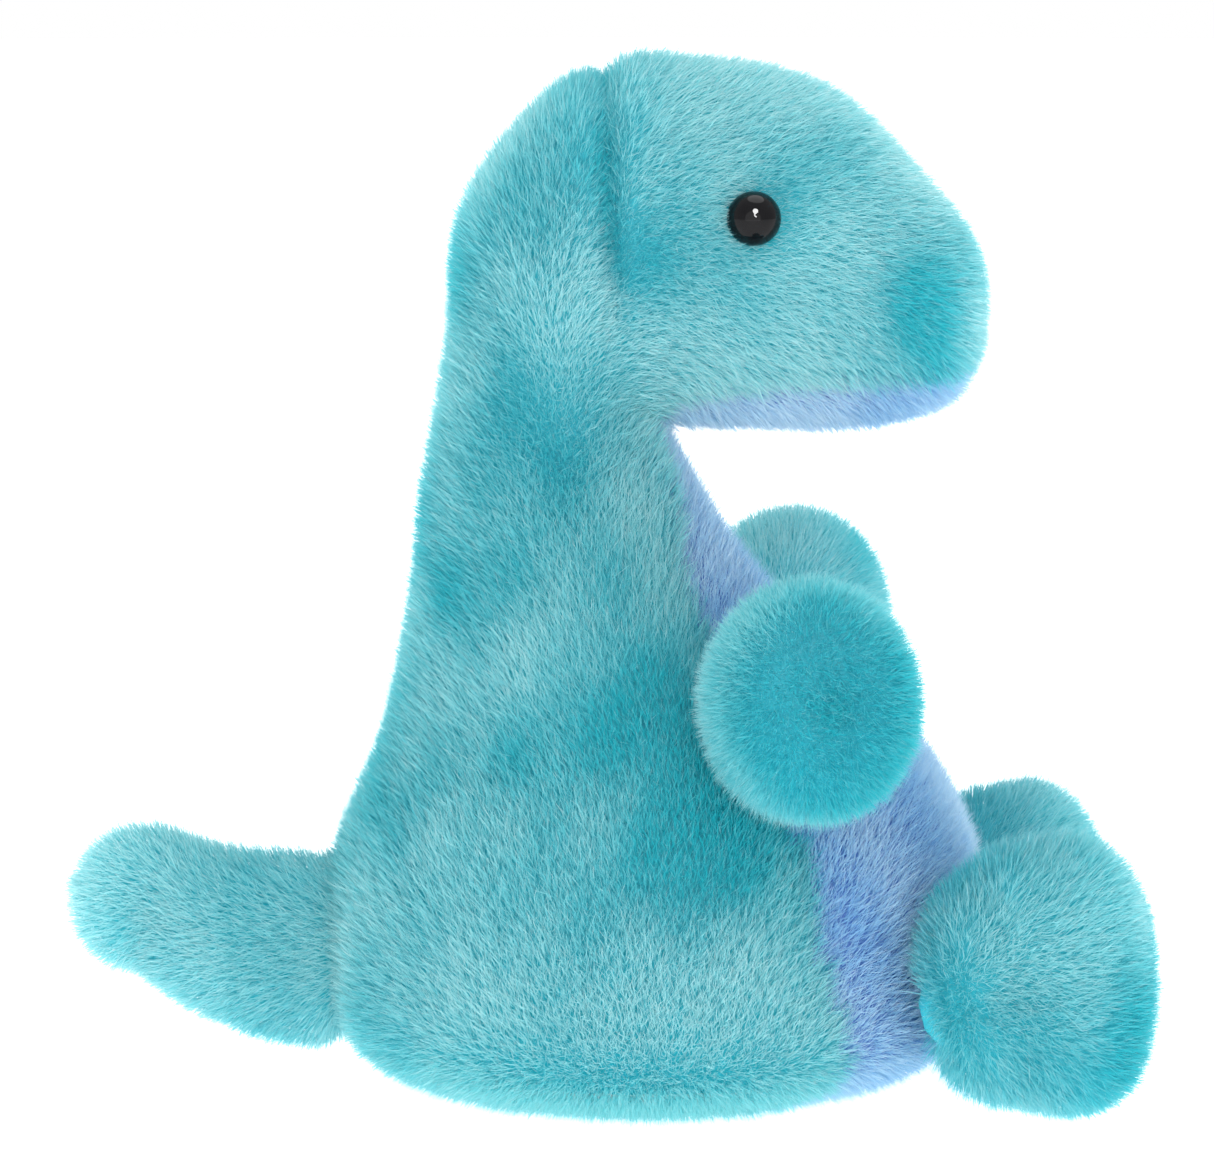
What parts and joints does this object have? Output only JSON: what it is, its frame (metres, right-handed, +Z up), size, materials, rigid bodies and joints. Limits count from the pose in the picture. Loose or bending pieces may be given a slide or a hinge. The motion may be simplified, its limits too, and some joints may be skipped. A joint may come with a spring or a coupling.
{
  "type": "stuffed dinosaur",
  "caption": "Sitting long-necked dinosaur in soft plush with a weighted flat seat, stub arms, upright feet, a fat tail and domed safety eyes.",
  "frame": {"origin": "centre of the flat oval seat, on the surface that the toy sits on", "axes": "+X forward along the nose, +Y to the animal's left, +Z up"},
  "size_m": [0.131, 0.0926, 0.1247],
  "materials": {
    "teal_plush": "short dense pile",
    "periwinkle_plush": "short dense pile",
    "filling": "loose polyester fibre",
    "pouch_cloth": "plain weave",
    "pellets": "smooth",
    "thread": "twisted thread",
    "eye": "polished",
    "washer": "moulded"
  },
  "bodies": {
    "body": {"body_side_right": "teal_plush", "body_side_left": "teal_plush", "belly_panel": "periwinkle_plush", "base_panel": "teal_plush", "base_thread": "thread", "body_fill": "filling", "pouch_bottom": "pouch_cloth", "pouch_top": "pouch_cloth", "pellets": "pellets", "arm_right_thread": "thread", "arm_left_thread": "thread", "leg_right_thread": "thread", "leg_left_thread": "thread", "tail_thread": "thread"},
    "neck": {"neck_side_right": "teal_plush", "neck_side_left": "teal_plush", "throat_panel": "periwinkle_plush", "neck_fill": "filling"},
    "head": {"nape_right": "teal_plush", "nape_left": "teal_plush", "head_side_right": "teal_plush", "head_side_left": "teal_plush", "chin_panel": "periwinkle_plush", "head_fill": "filling", "eye_right": "eye", "eye_left": "eye", "eye_washer_right": "washer", "eye_washer_left": "washer"},
    "arm_right": {"arm_right_outer": "teal_plush", "arm_right_inner": "teal_plush", "arm_right_fill": "filling"},
    "arm_left": {"arm_left_outer": "teal_plush", "arm_left_inner": "teal_plush", "arm_left_fill": "filling"},
    "leg_right": {"leg_right_upper": "teal_plush", "leg_right_sole": "teal_plush", "leg_right_fill": "filling"},
    "leg_left": {"leg_left_upper": "teal_plush", "leg_left_sole": "teal_plush", "leg_left_fill": "filling"},
    "tail": {"tail_right": "teal_plush", "tail_left": "teal_plush", "tail_fill": "filling"}
  },
  "joints": [
    {"name": "neck_turn", "type": "hinge", "parent": "body", "child": "neck", "pos_m": [-0.00906, 0, 0.06627], "axis": [0, 0, 1], "range_deg": [-25, 25], "stiffness_Nm_per_rad": 0.25},
    {"name": "head_nod", "type": "hinge", "parent": "neck", "child": "head", "pos_m": [-0.01095, 0, 0.077], "axis": [0, 1, 0], "range_deg": [-12, 12], "stiffness_Nm_per_rad": 0.4},
    {"name": "right_arm_lift", "type": "hinge", "parent": "body", "child": "arm_right", "pos_m": [0.01535, -0.02403, 0.05232], "axis": [-0.9703, -0.2419, 0], "range_deg": [-6, 30], "stiffness_Nm_per_rad": 0.03},
    {"name": "left_arm_lift", "type": "hinge", "parent": "body", "child": "arm_left", "pos_m": [0.01535, 0.02403, 0.05232], "axis": [0.9703, -0.2419, 0], "range_deg": [-6, 30], "stiffness_Nm_per_rad": 0.03},
    {"name": "right_leg_lift", "type": "hinge", "parent": "body", "child": "leg_right", "pos_m": [0.03732, -0.02298, 0.01479], "axis": [0, -1, 0], "range_deg": [-5, 20], "stiffness_Nm_per_rad": 0.04},
    {"name": "left_leg_lift", "type": "hinge", "parent": "body", "child": "leg_left", "pos_m": [0.03732, 0.02298, 0.01479], "axis": [0, -1, 0], "range_deg": [-5, 20], "stiffness_Nm_per_rad": 0.04},
    {"name": "tail_lift", "type": "hinge", "parent": "body", "child": "tail", "pos_m": [-0.04267, 0, 0.01749], "axis": [0, 1, 0], "range_deg": [-8, 15], "stiffness_Nm_per_rad": 0.04}
  ]
}
